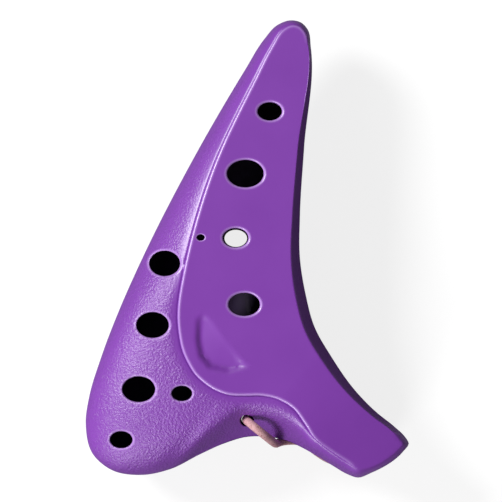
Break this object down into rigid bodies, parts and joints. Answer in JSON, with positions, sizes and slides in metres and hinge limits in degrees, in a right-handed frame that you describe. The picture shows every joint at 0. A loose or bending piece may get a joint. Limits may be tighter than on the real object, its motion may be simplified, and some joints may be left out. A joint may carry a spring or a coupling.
{
  "type": "ocarina",
  "caption": "Transverse moulded ocarina with finger holes, thumb holes, a windway mouthpiece and a looped neck cord.",
  "frame": {"origin": "middle of the bounding box in plan, at the flat face that it rests on, without the neck cord", "axes": "+Z out of the finger-hole face, +Y along the body towards the tail, +X towards the mouthpiece side"},
  "size_m": [0.0864, 0.1223, 0.0345],
  "materials": {
    "shell_plastic": "satin moulded ABS, smooth plate and fine grain on the flanks",
    "cord": "soft round cord, pinkish tan with darker flecks",
    "tie_plastic": "matt soft band"
  },
  "bodies": {
    "root": {"front_shell": "shell_plastic", "back_shell": "shell_plastic", "windway_block": "shell_plastic", "neck_cord_front": "cord", "neck_cord_back": "cord", "neck_cord_hank": "cord", "cord_knot": "cord", "cord_tie": "tie_plastic"}
  },
  "joints": []
}
